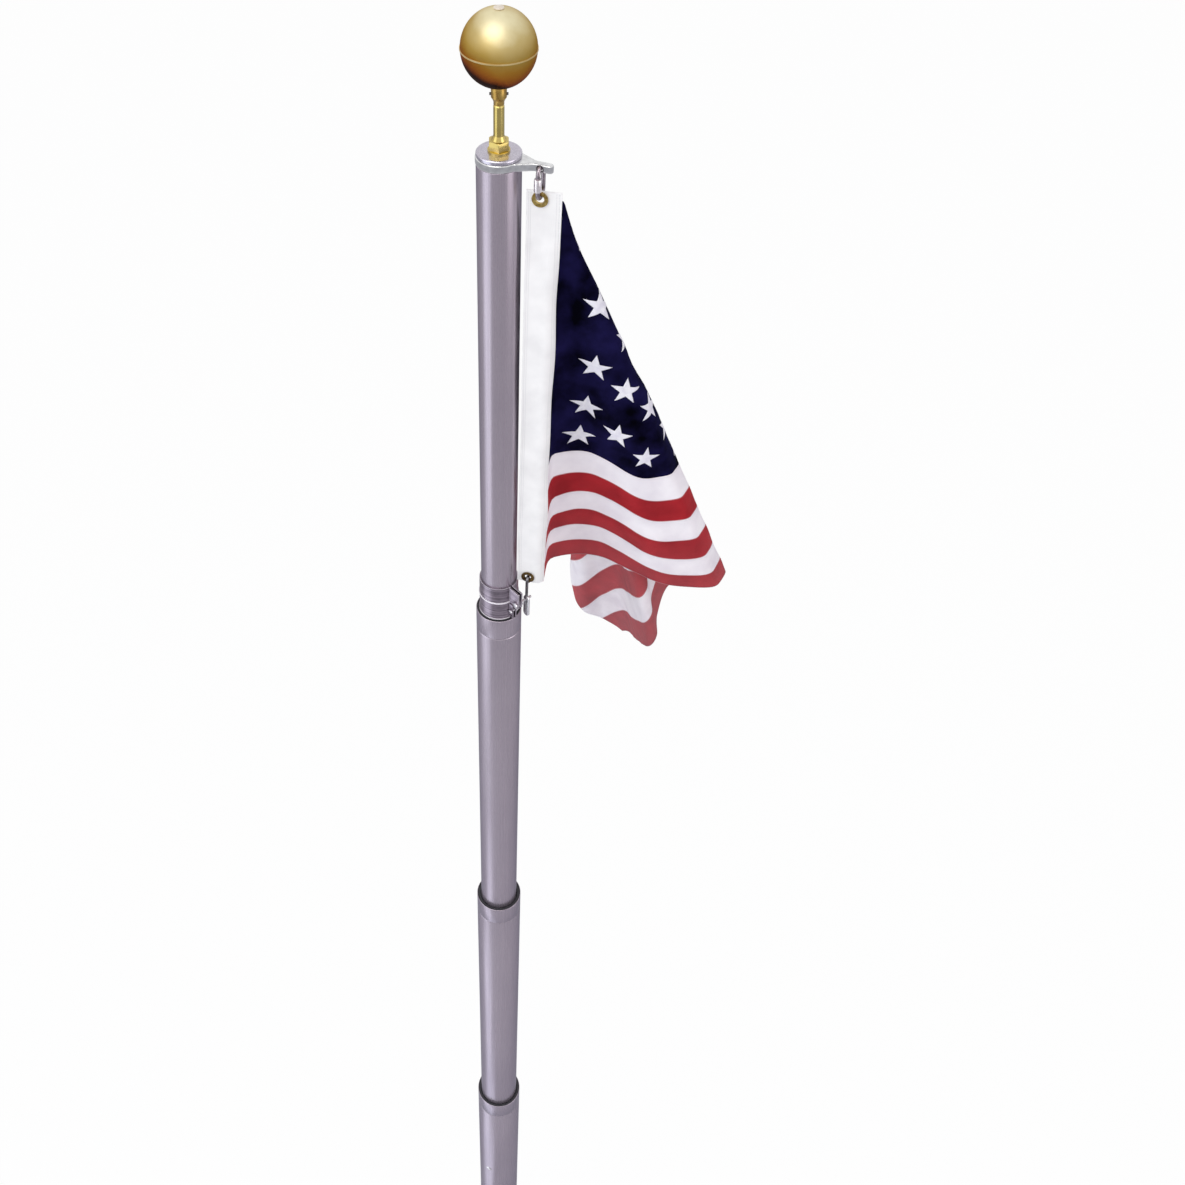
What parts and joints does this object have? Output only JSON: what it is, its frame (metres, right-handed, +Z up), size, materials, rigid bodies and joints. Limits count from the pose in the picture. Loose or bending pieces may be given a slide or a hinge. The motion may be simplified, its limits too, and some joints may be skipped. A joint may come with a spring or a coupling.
{
  "type": "telescoping flagpole with flag",
  "caption": "Telescoping mast of nested round tubes with a ball finial, a revolving truck arm, a lower swivel band and a small flag hung between them in folds.",
  "frame": {"origin": "centre of the flat foot under the lowest tube", "axes": "+Z up along the mast, +X to the side on which the flag hangs, -Y towards the front"},
  "size_m": [0.3906, 0.5738, 3.7712],
  "materials": {
    "mast_aluminium": "satin anodised, drawn along the tube",
    "black_plastic": "matt moulded",
    "screw_steel": "plain",
    "band_metal": "turned, with bright edges",
    "finial_brass": "polished",
    "ball_gold": "satin gold",
    "button_white": "gloss",
    "cast_arm": "polished casting",
    "link_steel": "drawn wire",
    "sleeve_zinc": "zinc plated",
    "grommet_brass": "rolled brass",
    "header_canvas": "white canvas",
    "flag_cloth": "woven nylon, sewn stripes",
    "tab_zinc": "zinc plated",
    "hook_steel": "dark steel"
  },
  "bodies": {
    "base_section": {"base_plug": "black_plastic", "base_tube": "mast_aluminium", "base_bushing": "black_plastic", "base_screw": "screw_steel"},
    "third_section": {"third_tube": "mast_aluminium", "third_bushing": "black_plastic", "third_guide": "black_plastic"},
    "second_section": {"second_tube": "mast_aluminium", "second_bushing": "black_plastic", "second_guide": "black_plastic", "stop_collar": "band_metal", "collar_bolt": "screw_steel"},
    "top_section": {"top_tube": "mast_aluminium", "top_guide": "black_plastic", "truck_cap": "mast_aluminium", "nut_washer": "finial_brass", "finial_nut": "finial_brass", "finial_stem": "finial_brass", "ball_ferrule": "ball_gold", "set_screw_left": "screw_steel", "set_screw_right": "screw_steel", "ball_lower": "ball_gold", "ball_upper": "ball_gold", "ball_seam": "ball_gold", "ball_button": "button_white"},
    "upper_swivel": {"truck_arm": "cast_arm", "quick_link": "link_steel", "link_sleeve": "sleeve_zinc", "upper_grommet": "grommet_brass", "flag_header": "header_canvas", "flag_field": "flag_cloth"},
    "lower_swivel": {"lower_grommet": "grommet_brass", "swivel_band": "band_metal", "band_bolt": "screw_steel", "band_nut": "screw_steel", "clip_tab": "tab_zinc", "lower_hook": "hook_steel"}
  },
  "joints": [
    {"name": "third_slide", "type": "slide", "parent": "base_section", "child": "third_section", "axis": [0, 0, 1], "range_m": [-0.88, 0]},
    {"name": "second_slide", "type": "slide", "parent": "third_section", "child": "second_section", "axis": [0, 0, 1], "range_m": [-0.78, 0]},
    {"name": "top_slide", "type": "slide", "parent": "second_section", "child": "top_section", "axis": [0, 0, 1], "range_m": [-0.565, 0], "deforming": ["flag_header", "flag_field"]},
    {"name": "upper_swivel_turn", "type": "hinge", "parent": "top_section", "child": "upper_swivel", "pos_m": [0, 0, 3.6086], "axis": [0, 0, 1], "continuous": true},
    {"name": "lower_swivel_turn", "type": "hinge", "parent": "second_section", "child": "lower_swivel", "pos_m": [0, 0, 2.9476], "axis": [0, 0, 1], "continuous": true}
  ],
  "couplings": [
    {"joint": "lower_swivel_turn", "follows": "upper_swivel_turn", "ratio": 1}
  ]
}
